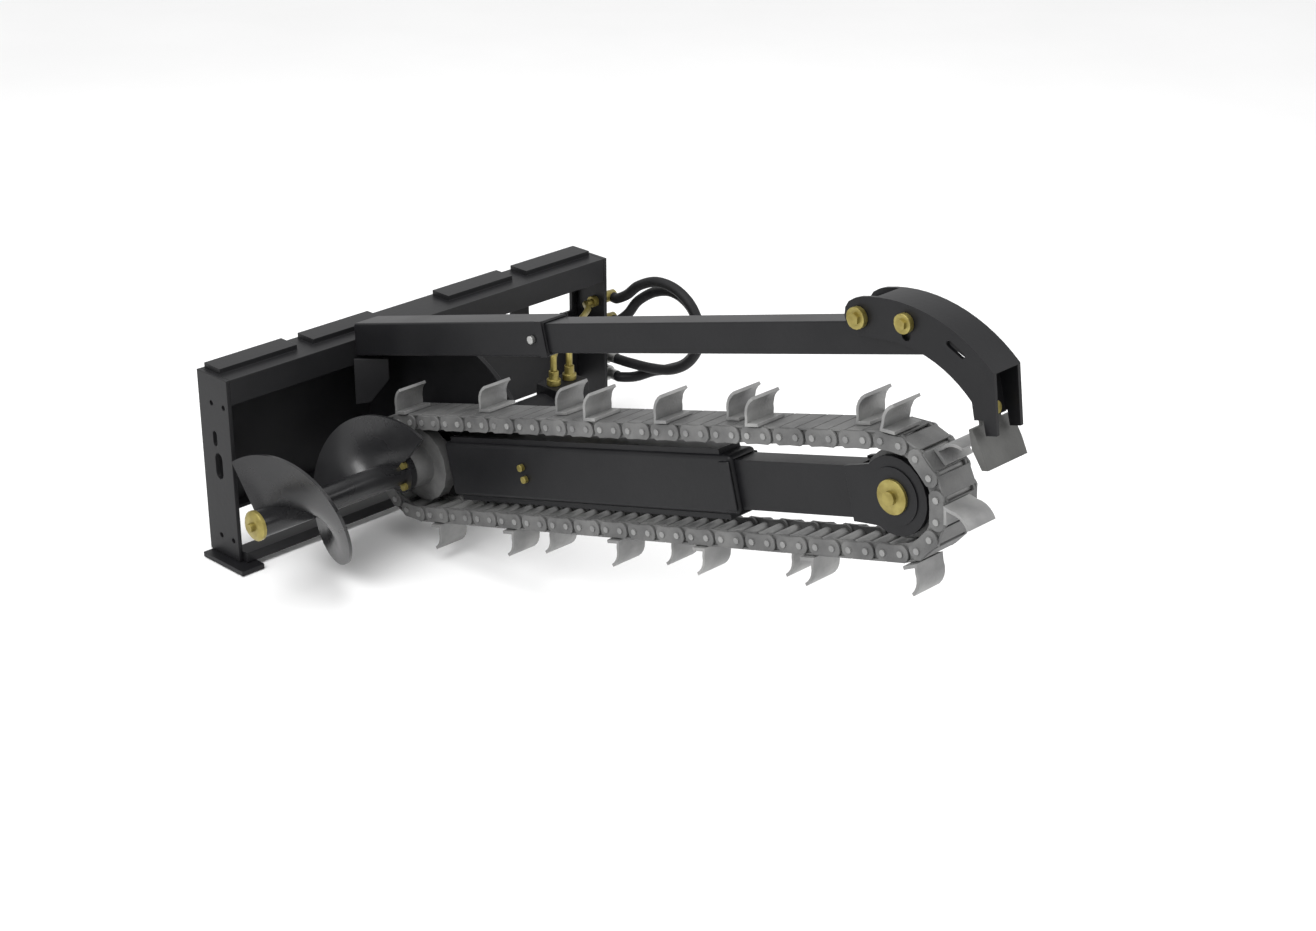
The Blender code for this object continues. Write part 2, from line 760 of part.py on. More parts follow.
def crumber_sleeve():
    half_height = BAR_HALF_HEIGHT + SLEEVE_CLEARANCE + SLEEVE_WALL
    half_width = BAR_HALF_WIDTH + SLEEVE_CLEARANCE + SLEEVE_WALL
    sleeve = box(
        "crumber_sleeve",
        (-0.20, -half_width, CRUMBER_HEIGHT - half_height),
        (0.542, half_width, CRUMBER_HEIGHT + half_height),
        "boom_paint",
        BOOM,
    )
    bevel(sleeve, 0.004, 2)
    cavity = box(
        "sleeve_cavity",
        (0.06, -half_width + SLEEVE_WALL, CRUMBER_HEIGHT - half_height + SLEEVE_WALL),
        (0.60, half_width - SLEEVE_WALL, CRUMBER_HEIGHT + half_height - SLEEVE_WALL),
        parent=BOOM,
        cutter=True,
    )
    behind_rail = box("behind_rail", (-0.2, -0.4, 0.0), (FRAME_DEPTH + GAP, 0.1, 0.5), cutter=True)
    cut(sleeve, cavity, behind_rail)


def crumber_bar():
    bar = box(
        "crumber_bar",
        (0.12, -BAR_HALF_WIDTH, CRUMBER_HEIGHT - BAR_HALF_HEIGHT),
        (1.545, BAR_HALF_WIDTH, CRUMBER_HEIGHT + BAR_HALF_HEIGHT),
        "boom_paint",
        BOOM,
    )
    bevel(bar, 0.003, 2)
    lug_outline = [(1.388, 0.320), (1.388, 0.345), (1.404, 0.358), (1.440, 0.360), (1.540, 0.337), (1.540, 0.320)]
    lug = prism("bar_lug", lug_outline, -BAR_HALF_WIDTH, BAR_HALF_WIDTH, parent=BOOM, cutter=True)
    pivot_bore = drum("bar_pivot_bore", 0.0113, -0.1, 0.1, parent=BOOM, at=PIVOT, segments=16, cutter=True)
    slot_bore = drum("bar_slot_bore", 0.0093, -0.1, 0.1, parent=BOOM, at=SLOT_BOLT, segments=16, cutter=True)
    cut(join(bar, lug), pivot_bore, slot_bore)


def swing_slot_outline(width):
    """The arc slot about the pivot that the second bolt runs in."""
    radius = math.dist(PIVOT, SLOT_BOLT)
    start = math.degrees(math.atan2(SLOT_BOLT[1] - PIVOT[1], SLOT_BOLT[0] - PIVOT[0]))
    end = start - ARM_SWING - 1.0
    half = width / 2
    outer = arc(PIVOT, radius + half, start, end, 4)
    tail = arc(arc(PIVOT, radius, end, end, 1)[0], half, end, end - 180, 4)
    inner = arc(PIVOT, radius - half, end, start, 4)
    head = arc(SLOT_BOLT, half, start + 180, start, 4)
    return outer + tail[1:-1] + inner + head[1:-1]


def crumber_arm():
    """A curved channel: two cheeks beside the bar, a web over the bend and a web across its lower end."""
    outer = arc(ARM_CENTRE, ARM_OUTER, 91, 35, 14)
    inner = arc(ARM_CENTRE, ARM_INNER, 33, 78, 10)
    nose = arc(PIVOT, 0.035, 250, 97, 6)
    foot = [(1.688, 0.120), (1.664, 0.120), (1.664, 0.148), (SHOE_BACK, 0.148)]
    arm = prism("crumber_arm", [*outer, *foot, *inner, *nose], -ARM_HALF_WIDTH, ARM_HALF_WIDTH, "boom_paint", BOOM)
    channel_outer = arc(ARM_CENTRE, ARM_OUTER - 0.008, 84, 36, 12)
    channel = [
        (1.340, 0.20),
        (1.340, 0.420),
        (1.434, 0.420),
        *channel_outer,
        (1.720, 0.226),
        (1.720, 0.10),
        (1.600, 0.10),
    ]
    inside = ARM_HALF_WIDTH - 0.008
    hollow = prism("arm_channel", channel, -inside, inside, parent=BOOM, cutter=True)
    web_low = (ARM_WEB, -inside - 0.002, 0.146)
    web_high = (ARM_WEB + 0.008, inside + 0.002, 0.226)
    web = box("arm_web", web_low, web_high, parent=BOOM, cutter=True)
    join(cut(arm, hollow), web)
    pivot_bore = drum("arm_pivot_bore", 0.0113, -0.1, 0.1, parent=BOOM, at=PIVOT, segments=16, cutter=True)
    swing = prism("arm_swing_slot", swing_slot_outline(0.0206), -0.1, 0.1, parent=BOOM, cutter=True)
    mark = arc(ARM_CENTRE, 0.300, 50, 50, 1)[0]
    light = prism("arm_light_slot", slot_outline(mark, 0.045, 0.012, -40), -0.1, 0.1, parent=BOOM, cutter=True)
    bolt_hole = drum("arm_bolt_hole", 0.0066, -0.03, 0.03, parent=BOOM, segments=12, cutter=True)
    bolt_hole.data.transform(Matrix.Rotation(math.radians(90), 4, "Z"))
    bolt_hole.location = (ARM_WEB, 0.0, SHOE_BOLT_HEIGHT)
    cut(arm, pivot_bore, swing, light, bolt_hole)


def crumber_bolts():
    face = ARM_HALF_WIDTH + GAP
    for name, place, shank, head in (
        ("crumber_pivot_bolt", PIVOT, 0.0104, 0.021),
        ("crumber_slot_bolt", SLOT_BOLT, 0.009, 0.019),
    ):
        profile = [
            (0.0, face + 0.012),
            (head, face + 0.012),
            (head, face),
            (shank, face),
            (shank, -face),
            (head, -face),
            (head, -face - 0.012),
            (0.0, -face - 0.012),
        ]
        turned(name, profile, "zinc_yellow", BOOM, (place[0], 0.0, place[1]), segments=16)


def crumber_shoe():
    """A wide blade on a slotted stem that slides behind the arm's lower web, and the bolt that clamps it."""
    front = ARM_WEB - GAP
    stem = box("crumber_shoe", (SHOE_BACK, -0.027, 0.100), (front, 0.027, 0.214), "shoe_steel", BOOM)
    blade_outline = [
        (SHOE_BACK, 0.137),
        (SHOE_BACK, 0.100),
        (1.658, 0.062),
        (1.672, 0.062),
        (1.6655, 0.095),
        (front, 0.137),
    ]
    blade = prism("shoe_blade", blade_outline, -0.057, 0.057, parent=BOOM, cutter=True)
    slot = box("shoe_slot", (1.60, -0.0068, 0.152), (1.70, 0.0068, 0.206), parent=BOOM, cutter=True)
    cut(join(stem, blade), slot)
    web_front = ARM_WEB + 0.008
    profile = [
        (0.0, web_front + GAP + 0.009),
        (0.012, web_front + GAP + 0.009),
        (0.012, web_front + GAP),
        (0.0062, web_front + GAP),
        (0.0062, SHOE_BACK - GAP),
        (0.012, SHOE_BACK - GAP),
        (0.012, SHOE_BACK - GAP - 0.008),
        (0.0, SHOE_BACK - GAP - 0.008),
    ]
    profile = [(radius, along - ARM_WEB) for radius, along in profile]
    turned("shoe_bolt", profile, "zinc_yellow", BOOM, (ARM_WEB, 0.0, SHOE_BOLT_HEIGHT), segments=12, axis="X")


def sleeve_bolt():
    half_width = BAR_HALF_WIDTH + SLEEVE_CLEARANCE + SLEEVE_WALL
    profile = [(0.0, 0.0), (0.009, 0.0), (0.009, -0.009), (0.0, -0.009)]
    turned("sleeve_bolt", profile, "bright_steel", BOOM, (0.503, -half_width - GAP, CRUMBER_HEIGHT), segments=12)


def main():
    back_plate()
    end_plates()
    top_rail()
    bottom_rail()
    left_foot()
    crumber_gusset()
    boom_side_plate()
    drive()
    hydraulics()
    head_group()
    boom_tube()
    boom_extension()
    nose_group()
    adjuster_bolts()
    digging_chain()
    cup_cutters()
    crumber_sleeve()
    crumber_bar()
    crumber_arm()
    crumber_bolts()
    crumber_shoe()
    sleeve_bolt()


main()
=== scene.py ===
"""Trencher attachment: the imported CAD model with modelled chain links, hoses and finishes."""

import json
import math

import bmesh
import bpy
from mathutils import Matrix, Vector


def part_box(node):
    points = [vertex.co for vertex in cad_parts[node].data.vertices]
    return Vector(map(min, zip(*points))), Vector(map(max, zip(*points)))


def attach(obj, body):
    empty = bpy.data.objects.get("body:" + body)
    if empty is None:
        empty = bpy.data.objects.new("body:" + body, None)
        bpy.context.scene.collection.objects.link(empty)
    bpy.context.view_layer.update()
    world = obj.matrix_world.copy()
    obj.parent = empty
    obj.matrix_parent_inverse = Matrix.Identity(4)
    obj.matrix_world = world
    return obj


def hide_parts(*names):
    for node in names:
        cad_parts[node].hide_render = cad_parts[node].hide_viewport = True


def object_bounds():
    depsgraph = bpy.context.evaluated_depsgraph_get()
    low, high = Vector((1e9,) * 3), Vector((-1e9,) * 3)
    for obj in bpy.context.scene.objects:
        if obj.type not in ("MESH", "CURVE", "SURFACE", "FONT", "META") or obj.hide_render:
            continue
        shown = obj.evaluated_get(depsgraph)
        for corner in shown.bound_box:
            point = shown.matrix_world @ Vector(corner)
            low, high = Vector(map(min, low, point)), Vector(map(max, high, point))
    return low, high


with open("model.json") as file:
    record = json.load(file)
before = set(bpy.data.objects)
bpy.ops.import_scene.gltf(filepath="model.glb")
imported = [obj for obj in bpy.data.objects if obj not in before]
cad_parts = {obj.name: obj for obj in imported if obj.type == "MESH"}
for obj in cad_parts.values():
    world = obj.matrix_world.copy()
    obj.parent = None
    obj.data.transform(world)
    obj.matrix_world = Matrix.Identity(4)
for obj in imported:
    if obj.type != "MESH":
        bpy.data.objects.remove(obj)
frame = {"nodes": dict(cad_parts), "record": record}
CAD_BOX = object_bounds()
NODES = frame["nodes"]

# Sizes shared with the CAD model, in metres
HEAD = Vector((0.296, -0.1815, -0.036))
BOOM_TILT = math.radians(15.2)
PITCH = 0.042
SPROCKET_TEETH = 16
STRAIGHT_LINKS = 34
PITCH_RADIUS = PITCH / (2 * math.sin(math.pi / SPROCKET_TEETH))
BOOM_LENGTH = STRAIGHT_LINKS * PITCH
LINKS = 2 * STRAIGHT_LINKS + SPROCKET_TEETH
WRAP_LINKS = SPROCKET_TEETH // 2
HOSE_DIAMETER = 0.026
HOSE_STEPS = 6  # curve steps between two points of a route
HOSE_ROUNDNESS = 5
BOOM_MATRIX = Matrix.Translation(HEAD) @ Matrix.Rotation(-BOOM_TILT, 4, "Y")

# Chain details
LINK_HALF_HEIGHT = 0.0185
LINK_WAIST = 0.0025  # how much narrower a side bar is halfway, on each edge
BAR_THICKNESS = 0.006
OUTER_BAR_Y = 0.046
INNER_BAR_Y = 0.0392
CROSS_PLATE = 0.0045  # thickness of each link's cross plate
PLATE_GAP = 0.0015  # from a pin to the end of its cross plate
PIN_HEAD_RADIUS = 0.0065
PIN_END_Y = 0.0517
BUSHING_RADIUS = 0.0115
BAR_END_ANGLE = 70  # degrees of round end above and below a pin's level
BAR_END_STEPS = 8
CHAIN_EDGE = 0.0008
CHAIN_EDGE_ANGLE = 60

# Edges of the CAD nodes and of the boom collar
WELD = 0.00002
CAD_EDGE = 0.0012
CAD_EDGE_ANGLE = 38
COLLAR_EDGE = 0.0015
COLLAR_EDGE_ANGLE = 30

# Sides of the drums
HEX_SIDES = 6
PIN_SIDES = 12
BUSHING_SIDES = 16
ROUND_SIDES = 40

# Trim in the boom's frame: s along the boom, w from its axis
STRIP_S = (0.150, 0.985)
STRIP_W = (0.0585, 0.072)
STRIP_HALF_WIDTH = 0.030
BOOM_COLLAR_S = (0.990, 1.018)
BOOM_COLLAR_Y = (0.0375, 0.0425)
BOOM_COLLAR_HALF_HEIGHT = 0.050
SLEEVE_COLLAR_S = (0.520, 0.541)
SLEEVE_COLLAR_Y = (0.0350, 0.0385)
SLEEVE_COLLAR_W = (0.256, 0.332)
NOSE_RING_RADIUS = 0.056
NOSE_RING_Y = (0.0385, 0.0412)

# Bolts
HEX_RADIUS = {"crumber_pivot_bolt": 0.012, "crumber_slot_bolt": 0.011}
HEX_HEIGHT = 0.006
HEX_SUNK = 0.001
FLANGE_BOLTS = 4
FLANGE_BOLT_CIRCLE = 0.037
FLANGE_BOLT_RADIUS = 0.009
FLANGE_BOLT_Y = (-0.026, -0.0155)  # from the sprocket's auger side

# Spoil auger, along the head axis
AUGER_START = -0.648
AUGER_END = -0.262
AUGER_PITCH = 0.305
FLIGHT_START = AUGER_START + 0.012
FLIGHT_END = AUGER_END - 0.002
FLIGHT_ANGLE = math.radians(128)
FLIGHT_ROOT = 0.026
FLIGHT_RADIUS = 0.147
FLIGHT_THICKNESS = 0.008
FLIGHT_STEPS_A_TURN = 96
FLIGHT_BANDS = 4
HUB_RADIUS = 0.030
HUB_OVERLAP = 0.001  # of the hub into its flange
FLANGE_RADIUS = 0.048
FLANGE_THICKNESS = 0.016

# Studio
FLOOR_HALF = 40.0
FLOOR_DROP = 0.002
WORLD_STRENGTH = 0.9
LIGHTS = {  # place, size and power
    "key": ((1.2, -3.6, 3.4), 2.2, 120),
    "fill": ((4.2, 1.8, 2.6), 2.6, 50),
    "top": ((0.4, -0.4, 4.0), 3.0, 70),
}
LIGHT_TARGET = Vector((0.7, 0.0, 0.1))
CAMERA_PLACE = (4.181, -3.357, 2.177)
CAMERA_AZIMUTH = 44.75
CAMERA_ELEVATION = 24.0
CAMERA_LENS = 66.3
SENSOR_WIDTH = 36.0

# Routes of the hydraulic hoses, from the end plate's elbows to the parked couplers
HOSE_ROUTES = {
    "a": [
        (0.090, 0.612, 0.100),
        (0.104, 0.612, 0.100),
        (0.136, 0.616, 0.118),
        (0.170, 0.622, 0.148),
        (0.225, 0.628, 0.170),
        (0.285, 0.632, 0.166),
        (0.337, 0.634, 0.136),
        (0.366, 0.634, 0.085),
        (0.362, 0.632, 0.028),
        (0.328, 0.628, -0.018),
        (0.277, 0.624, -0.046),
        (0.215, 0.620, -0.058),
        (0.150, 0.616, -0.062),
        (0.112, 0.614, -0.063),
        (0.098, 0.614, -0.063),
    ],
    "b": [
        (0.090, 0.612, 0.040),
        (0.104, 0.612, 0.040),
        (0.126, 0.628, 0.062),
        (0.145, 0.645, 0.096),
        (0.188, 0.662, 0.126),
        (0.243, 0.670, 0.136),
        (0.298, 0.671, 0.115),
        (0.331, 0.668, 0.068),
        (0.330, 0.662, 0.012),
        (0.295, 0.658, -0.034),
        (0.243, 0.655, -0.062),
        (0.190, 0.650, -0.082),
        (0.145, 0.634, -0.104),
        (0.112, 0.614, -0.109),
        (0.098, 0.614, -0.109),
    ],
}


# ---------------------------------------------------------------- materials

RAMP_ENDS = (0.35, 0.68)  # noise levels that give the dark and the light colour
ROUGHNESS_SPREAD = (-0.07, 0.09)
FINE_SCALE = 14  # fine noise against the broad one
BROAD_DETAIL = 6.0
FINE_DETAIL = 4.0
RELIEF_DEPTH = 0.002


def noise_material(name, dark, light, roughness, metallic, scale, relief_strength, specular):
    """A finish whose colour, roughness and surface vary with procedural noise."""
    material = bpy.data.materials.new(name)
    material.use_nodes = True
    tree = material.node_tree
    shader = tree.nodes["Principled BSDF"]
    shader.inputs["Metallic"].default_value = metallic
    shader.inputs["Specular IOR Level"].default_value = specular
    place = tree.nodes.new("ShaderNodeTexCoord")
    broad = tree.nodes.new("ShaderNodeTexNoise")
    broad.inputs["Scale"].default_value = scale
    broad.inputs["Detail"].default_value = BROAD_DETAIL
    fine = tree.nodes.new("ShaderNodeTexNoise")
    fine.inputs["Scale"].default_value = scale * FINE_SCALE
    fine.inputs["Detail"].default_value = FINE_DETAIL
    ramp = tree.nodes.new("ShaderNodeValToRGB")
    for element, position, colour in zip(ramp.color_ramp.elements, RAMP_ENDS, (dark, light)):
        element.position = position
        element.color = (*colour, 1.0)
    spread = tree.nodes.new("ShaderNodeMapRange")
    spread.inputs["To Min"].default_value = roughness + ROUGHNESS_SPREAD[0]
    spread.inputs["To Max"].default_value = roughness + ROUGHNESS_SPREAD[1]
    relief = tree.nodes.new("ShaderNodeBump")
    relief.inputs["Strength"].default_value = relief_strength
    relief.inputs["Distance"].default_value = RELIEF_DEPTH
    links = tree.links
    links.new(place.outputs["Object"], broad.inputs["Vector"])
    links.new(place.outputs["Object"], fine.inputs["Vector"])
    links.new(broad.outputs["Fac"], ramp.inputs["Fac"])
    links.new(ramp.outputs["Color"], shader.inputs["Base Color"])
    links.new(broad.outputs["Fac"], spread.inputs["Value"])
    links.new(spread.outputs["Result"], shader.inputs["Roughness"])
    links.new(fine.outputs["Fac"], relief.inputs["Height"])
    links.new(relief.outputs["Normal"], shader.inputs["Normal"])
    return material


# Each finish: dark and light colour, roughness, metallic, noise scale, relief and specular level
FINISHES = {
    "frame_paint": ((0.007, 0.007, 0.008), (0.012, 0.012, 0.013), 0.42, 0.0, 5, 0.10, 0.22),
    "boom_paint": ((0.006, 0.006, 0.007), (0.010, 0.010, 0.011), 0.40, 0.0, 6, 0.10, 0.20),
    "auger_paint": ((0.010, 0.010, 0.011), (0.018, 0.018, 0.019), 0.26, 0.0, 7, 0.06, 0.45),
    "chain_steel": ((0.085, 0.085, 0.085), (0.145, 0.145, 0.143), 0.55, 0.15, 16, 0.35, 0.35),
    "cutter_steel": ((0.16, 0.16, 0.16), (0.27, 0.27, 0.265), 0.45, 0.25, 14, 0.30, 0.45),
    "zinc_yellow": ((0.20, 0.16, 0.040), (0.32, 0.27, 0.085), 0.36, 0.65, 40, 0.10, 0.50),
    "drive_paint": ((0.006, 0.006, 0.007), (0.010, 0.010, 0.011), 0.50, 0.0, 8, 0.20, 0.20),
    "hose_rubber": ((0.005, 0.005, 0.006), (0.009, 0.009, 0.010), 0.50, 0.0, 30, 0.45, 0.25),
    "shoe_steel": ((0.050, 0.050, 0.048), (0.085, 0.085, 0.082), 0.52, 0.1, 12, 0.25, 0.30),
    "bright_steel": ((0.26, 0.26, 0.255), (0.38, 0.38, 0.37), 0.32, 0.75, 30, 0.10, 0.50),
}
FLOOR_FINISH = ((0.90, 0.90, 0.90), (0.93, 0.93, 0.93), 0.8, 0.0, 1, 0.02, 0.2)
MATERIALS = {name: noise_material(f"{name}_look", *values) for name, values in FINISHES.items()}


def dress(piece, slot, body):
    """Gives a new piece the finish of a slot and the body that it rides on."""
    piece.data.materials.clear()
    piece.data.materials.append(MATERIALS[slot])
    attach(piece, body)


def soften(piece, width, degrees, segments=1):
    """Rounds the edges sharper than an angle."""
    edge = piece.modifiers.new("edge", "BEVEL")
    edge.width = width
    edge.segments = segments
    edge.limit_method = "ANGLE"
    edge.angle_limit = math.radians(degrees)


def finish_cad_nodes():
    """Kept CAD nodes get their procedural finish and softened edges."""
    slots = {entry["node"]: entry["material_slot"] for entry in frame["record"]["subparts"]}
    for name, node in NODES.items():
        node.data.materials.clear()
        node.data.materials.append(MATERIALS[slots[name]])
        node.data.shade_smooth()
        weld = node.modifiers.new("weld", "WELD")
        weld.merge_threshold = WELD
        soften(node, CAD_EDGE, CAD_EDGE_ANGLE, segments=2)
        node.modifiers.new("normals", "WEIGHTED_NORMAL")


# ---------------------------------------------------------------- mesh helpers


def new_object(name, bm, smooth_angle=35):
    """A linked object from a bmesh, smooth below the angle."""
    bmesh.ops.recalc_face_normals(bm, faces=bm.faces)
    mesh = bpy.data.meshes.new(name)
    bm.to_mesh(mesh)
    bm.free()
    mesh.shade_smooth()
    mesh.set_sharp_from_angle(angle=math.radians(smooth_angle))
    piece = bpy.data.objects.new(name, mesh)
    bpy.context.scene.collection.objects.link(piece)
    return piece


def both_sides(inner, outer):
    """The span from inner to outer on the negative side and on the positive side, each low end first."""
    return [(-outer, -inner), (inner, outer)]


def add_drum(bm, matrix, radius, y_low, y_high, segments):
    """A cylinder along the local Y axis."""
    turn = Matrix.Rotation(math.radians(-90), 4, "X")
    place = matrix @ Matrix.Translation((0.0, (y_low + y_high) / 2, 0.0)) @ turn
    bmesh.ops.create_cone(
        bm,
        cap_ends=True,
        segments=segments,
        radius1=radius,
        radius2=radius,
        depth=y_high - y_low,
        matrix=place,
    )


def add_box(bm, matrix, low, high):
    """A box between two corners of the local frame."""
    low, high = Vector(low), Vector(high)
    size = Matrix.Diagonal((*(high - low), 1.0))
    bmesh.ops.create_cube(bm, size=1.0, matrix=matrix @ Matrix.Translation((low + high) / 2) @ size)


def add_plate(bm, matrix, outline, y_low, y_high):
    """A closed (x, z) outline extruded along Y."""
    low = [bm.verts.new(matrix @ Vector((x, y_low, z))) for x, z in outline]
    high = [bm.verts.new(matrix @ Vector((x, y_high, z))) for x, z in outline]
    bm.faces.new(low)
    bm.faces.new(list(reversed(high)))
    for i in range(len(outline)):
        j = (i + 1) % len(outline)
        bm.faces.new((low[i], low[j], high[j], high[i]))


def arc(centre, radius, start, end, steps):
    """Points along an arc of the (x, z) plane, angles in degrees."""
    points = []
    for i in range(steps + 1):
        angle = math.radians(start + (end - start) * i / steps)
        points.append((centre[0] + radius * math.cos(angle), centre[1] + radius * math.sin(angle)))
    return points


# ---------------------------------------------------------------- digging chain


def wrap_point(centre_x, angle):
    """The pin's place on the sprocket or the nose wheel, at an angle in degrees."""
    x, z = arc((centre_x, 0.0), PITCH_RADIUS, angle, angle, 1)[0]
    return Vector((x, 0.0, z))


def chain_point(link):
    """The place of a link's first pin, in the boom's (x, z) plane."""
    link %= LINKS
    if link <= STRAIGHT_LINKS:
        return Vector((link * PITCH, 0.0, PITCH_RADIUS))
    if link < STRAIGHT_LINKS + WRAP_LINKS:
        return wrap_point(BOOM_LENGTH, 90.0 - (link - STRAIGHT_LINKS) * 180 / WRAP_LINKS)
    if link <= 2 * STRAIGHT_LINKS + WRAP_LINKS:
        x = BOOM_LENGTH - (link - STRAIGHT_LINKS - WRAP_LINKS) * PITCH
        return Vector((x, 0.0, -PITCH_RADIUS))
    return wrap_point(0.0, -90.0 - (link - 2 * STRAIGHT_LINKS - WRAP_LINKS) * 180 / WRAP_LINKS)


def side_bar_outline():
    """A link's side bar from pin to pin, with round ends and a slight waist."""
    half = LINK_HALF_HEIGHT
    end = arc((PITCH, 0.0), half, BAR_END_ANGLE, -BAR_END_ANGLE, BAR_END_STEPS)
    start = arc((0.0, 0.0), half, BAR_END_ANGLE - 180, -BAR_END_ANGLE - 180, BAR_END_STEPS)
    return [(PITCH / 2, half - LINK_WAIST), *end, (PITCH / 2, LINK_WAIST - half), *start]


def add_link(bars, pins, matrix, bar_y):
    """One link: two side bars, a cross plate over them, a bushing and two riveted pin heads."""
    for low, high in both_sides(bar_y - BAR_THICKNESS / 2, bar_y + BAR_THICKNESS / 2):
        add_plate(bars, matrix, side_bar_outline(), low, high)
    for low, high in both_sides(OUTER_BAR_Y + BAR_THICKNESS / 2, PIN_END_Y):
        add_drum(pins, matrix, PIN_HEAD_RADIUS, low, high, PIN_SIDES)
    add_drum(pins, matrix, BUSHING_RADIUS, -INNER_BAR_Y, INNER_BAR_Y, BUSHING_SIDES)
    plate_low = (PLATE_GAP, -OUTER_BAR_Y, LINK_HALF_HEIGHT - CROSS_PLATE)
    plate_high = (PITCH - PLATE_GAP, OUTER_BAR_Y, LINK_HALF_HEIGHT)
    add_box(bars, matrix, plate_low, plate_high)


def digging_chain():
    """The chain's links in turn, outer and inner, round the sprocket and the nose wheel."""
    bars = bmesh.new()
    pins = bmesh.new()
    for link in range(LINKS):
        place = chain_point(link)
        along = chain_point(link + 1) - place
        turn = Matrix.Rotation(-math.atan2(along.z, along.x), 4, "Y")
        matrix = BOOM_MATRIX @ Matrix.Translation(place) @ turn
        add_link(bars, pins, matrix, INNER_BAR_Y if link % 2 else OUTER_BAR_Y)
    chain = new_object("chain_side_bars", bars)
    soften(chain, CHAIN_EDGE, CHAIN_EDGE_ANGLE)
    dress(chain, "chain_steel", "frame")
    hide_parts("digging_chain")
    dress(new_object("chain_pins", pins), "cutter_steel", "frame")


# ---------------------------------------------------------------- boom and frame trim


def wear_strips():
    """The strips above and below the boom tube."""
    bm = bmesh.new()
    for low, high in both_sides(*STRIP_W):
        corner = (STRIP_S[0], -STRIP_HALF_WIDTH, low)
        add_box(bm, BOOM_MATRIX, corner, (STRIP_S[1], STRIP_HALF_WIDTH, high))
    dress(new_object("boom_wear_strips", bm), "boom_paint", "frame")


def boom_collar():
    """The raised plates on both sides of the boom tube's open end."""
    bm = bmesh.new()
    for low, high in both_sides(*BOOM_COLLAR_Y):
        corner = (BOOM_COLLAR_S[0], low, -BOOM_COLLAR_HALF_HEIGHT)
        add_box(bm, BOOM_MATRIX, corner, (BOOM_COLLAR_S[1], high, BOOM_COLLAR_HALF_HEIGHT))
    collar = new_object("boom_end_collar", bm)
    soften(collar, COLLAR_EDGE, COLLAR_EDGE_ANGLE)
    dress(collar, "boom_paint", "frame")


def sleeve_collar():
    """The raised plates on both sides of the crumber sleeve's open end."""
    bm = bmesh.new()
    for low, high in both_sides(*SLEEVE_COLLAR_Y):
        corner = (SLEEVE_COLLAR_S[0], low, SLEEVE_COLLAR_W[0])
        add_box(bm, BOOM_MATRIX, corner, (SLEEVE_COLLAR_S[1], high, SLEEVE_COLLAR_W[1]))
    dress(new_object("sleeve_end_collar", bm), "boom_paint", "frame")


def nose_ring():
    """The raised rings on the nose cheeks, round the pin."""
    bm = bmesh.new()
    matrix = BOOM_MATRIX @ Matrix.Translation((BOOM_LENGTH, 0.0, 0.0))
    for low, high in both_sides(*NOSE_RING_Y):
        add_drum(bm, matrix, NOSE_RING_RADIUS, low, high, ROUND_SIDES)
    dress(new_object("nose_ring", bm), "boom_paint", "boom_slider")


def hex_heads():
    """Hexagon heads on the near ends of the crumber arm's two bolts."""
    for name, radius in HEX_RADIUS.items():
        low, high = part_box(name)
        middle = (low + high) / 2
        bm = bmesh.new()
        matrix = Matrix.Translation((middle.x, 0.0, middle.z))
        add_drum(bm, matrix, radius, low.y - HEX_HEIGHT, low.y + HEX_SUNK, HEX_SIDES)
        dress(new_object(f"{name}_head", bm), "zinc_yellow", "crumber_slider")


def auger_flange_bolts():
    """Hexagon bolts round the auger's flange, beside the sprocket."""
    sprocket_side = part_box("drive_sprocket")[0].y
    bm = bmesh.new()
    for i in range(FLANGE_BOLTS):
        angle = math.radians(45 + 360 * i / FLANGE_BOLTS)
        x = HEAD.x + FLANGE_BOLT_CIRCLE * math.cos(angle)
        z = HEAD.z + FLANGE_BOLT_CIRCLE * math.sin(angle)
        low, high = (sprocket_side + y for y in FLANGE_BOLT_Y)
        add_drum(bm, Matrix.Translation((x, 0.0, z)), FLANGE_BOLT_RADIUS, low, high, HEX_SIDES)
    dress(new_object("auger_flange_bolts", bm), "zinc_yellow", "head_group")


# ---------------------------------------------------------------- spoil auger


def auger_flight():
    """A smooth helical blade from just inside the hub to the rim."""
    turns = (FLIGHT_END - FLIGHT_START) / AUGER_PITCH
    steps = round(turns * FLIGHT_STEPS_A_TURN)
    reach = FLIGHT_RADIUS - FLIGHT_ROOT
    radii = [FLIGHT_ROOT + reach * i / FLIGHT_BANDS for i in range(FLIGHT_BANDS + 1)]
    section = [(r, -1) for r in radii] + [(r, 1) for r in reversed(radii)]
    bm = bmesh.new()
    rings = []
    for i in range(steps + 1):
        y = FLIGHT_START + (FLIGHT_END - FLIGHT_START) * i / steps
        angle = FLIGHT_ANGLE - 2 * math.pi * turns * i / steps
        rim = Vector((math.cos(angle), 0.0, math.sin(angle)))
        ring = []
        for radius, side in section:
            offset = Vector((HEAD.x, y + side * FLIGHT_THICKNESS / 2, HEAD.z))
            ring.append(bm.verts.new(rim * radius + offset))
        rings.append(ring)
    for first, second in zip(rings, rings[1:]):
        for j in range(len(section)):
            k = (j + 1) % len(section)
            bm.faces.new((first[j], first[k], second[k], second[j]))
    bm.faces.new(rings[0])
    bm.faces.new(list(reversed(rings[-1])))
    return bm


def spoil_auger():
    """The flight with its hub and the flange at the sprocket end."""
    bm = auger_flight()
    axis = Matrix.Translation((HEAD.x, 0.0, HEAD.z))
    add_drum(bm, axis, HUB_RADIUS, AUGER_START, AUGER_END + HUB_OVERLAP, ROUND_SIDES)
    add_drum(bm, axis, FLANGE_RADIUS, AUGER_END, AUGER_END + FLANGE_THICKNESS, ROUND_SIDES)
    auger = new_object("spoil_auger_flight", bm, smooth_angle=40)
    dress(auger, "auger_paint", "head_group")
    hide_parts("spoil_auger")


# ---------------------------------------------------------------- hoses


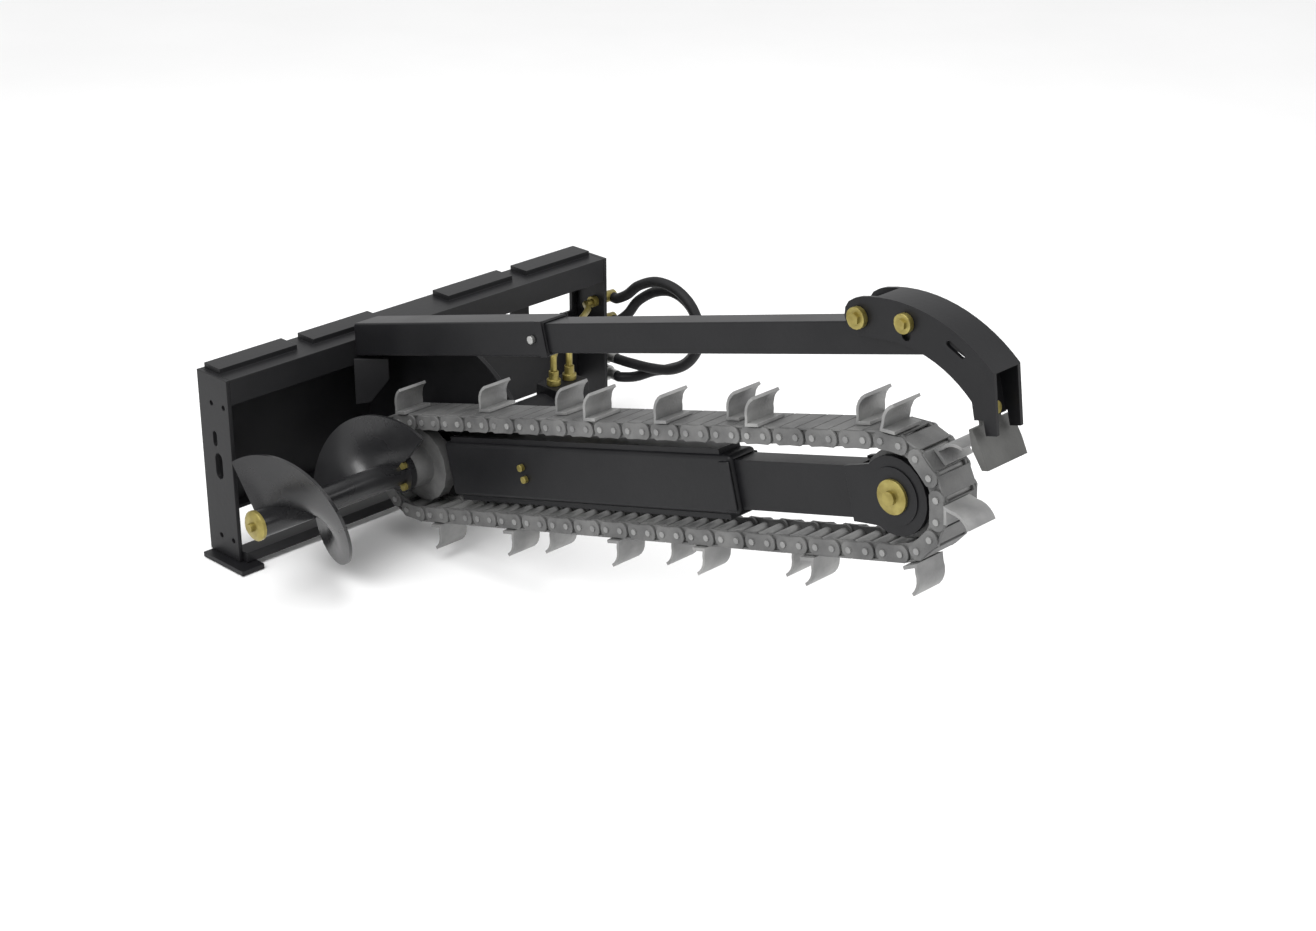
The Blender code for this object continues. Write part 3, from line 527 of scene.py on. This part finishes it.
def smooth_path(points):
    """A Catmull-Rom curve through the points."""
    ends = [points[0] * 2 - points[1], *points, points[-1] * 2 - points[-2]]
    path = [points[0]]
    for before, start, end, after in zip(ends, ends[1:], ends[2:], ends[3:]):
        for i in range(1, HOSE_STEPS + 1):
            t = i / HOSE_STEPS
            path.append(
                0.5
                * (
                    2 * start
                    + (end - before) * t
                    + (2 * before - 5 * start + 4 * end - after) * t**2
                    + (3 * start - before - 3 * end + after) * t**3
                )
            )
    return path


def hoses():
    """Two free hoses that loop from the end plate's elbows back to the parked couplers."""
    for letter, route in HOSE_ROUTES.items():
        path = smooth_path([Vector(point) for point in route])
        data = bpy.data.curves.new(f"hydraulic_hose_{letter}", "CURVE")
        data.dimensions = "3D"
        data.bevel_depth = HOSE_DIAMETER / 2
        data.bevel_resolution = HOSE_ROUNDNESS
        data.use_fill_caps = True
        spline = data.splines.new("POLY")
        spline.points.add(len(path) - 1)
        for place, point in zip(spline.points, path):
            place.co = (*point, 1.0)
        spline.use_smooth = True
        hose = bpy.data.objects.new(f"hydraulic_hose_{letter}", data)
        bpy.context.scene.collection.objects.link(hose)
        dress(hose, "hose_rubber", "frame")
        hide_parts(f"hose_{letter}")


# ---------------------------------------------------------------- stage


def add_floor():
    """A plain pale floor just under the object."""
    z = CAD_BOX[0].z - FLOOR_DROP
    corners = [(x * FLOOR_HALF, y * FLOOR_HALF, z) for x, y in ((-1, -1), (1, -1), (1, 1), (-1, 1))]
    mesh = bpy.data.meshes.new("floor")
    mesh.from_pydata(corners, [], [(0, 1, 2, 3)])
    mesh.materials.append(noise_material("floor_look", *FLOOR_FINISH))
    floor = bpy.data.objects.new("floor", mesh)
    bpy.context.scene.collection.objects.link(floor)


def studio_light():
    """An even white surround and three large soft lights."""
    world = bpy.data.worlds.new("studio")
    world.use_nodes = True
    world.node_tree.nodes["Background"].inputs["Color"].default_value = (1.0, 1.0, 1.0, 1.0)
    world.node_tree.nodes["Background"].inputs["Strength"].default_value = WORLD_STRENGTH
    bpy.context.scene.world = world
    for name, (place, size, power) in LIGHTS.items():
        light = bpy.data.lights.new(name, "AREA")
        light.size = size
        light.energy = power
        lamp = bpy.data.objects.new(name, light)
        lamp.location = place
        lamp.rotation_euler = (LIGHT_TARGET - Vector(place)).to_track_quat("-Z", "Y").to_euler()
        bpy.context.scene.collection.objects.link(lamp)
    bpy.context.scene.view_settings.view_transform = "Standard"


def camera():
    """The camera at the photograph's viewing angle."""
    data = bpy.data.cameras.new("camera")
    data.lens = CAMERA_LENS
    data.sensor_width = SENSOR_WIDTH
    eye = bpy.data.objects.new("camera", data)
    eye.location = CAMERA_PLACE
    eye.rotation_euler = (math.radians(90.0 - CAMERA_ELEVATION), 0.0, math.radians(CAMERA_AZIMUTH))
    bpy.context.scene.collection.objects.link(eye)
    bpy.context.scene.camera = eye


camera()
hoses()
finish_cad_nodes()
digging_chain()
wear_strips()
boom_collar()
sleeve_collar()
nose_ring()
spoil_auger()
hex_heads()
auger_flange_bolts()
add_floor()
studio_light()
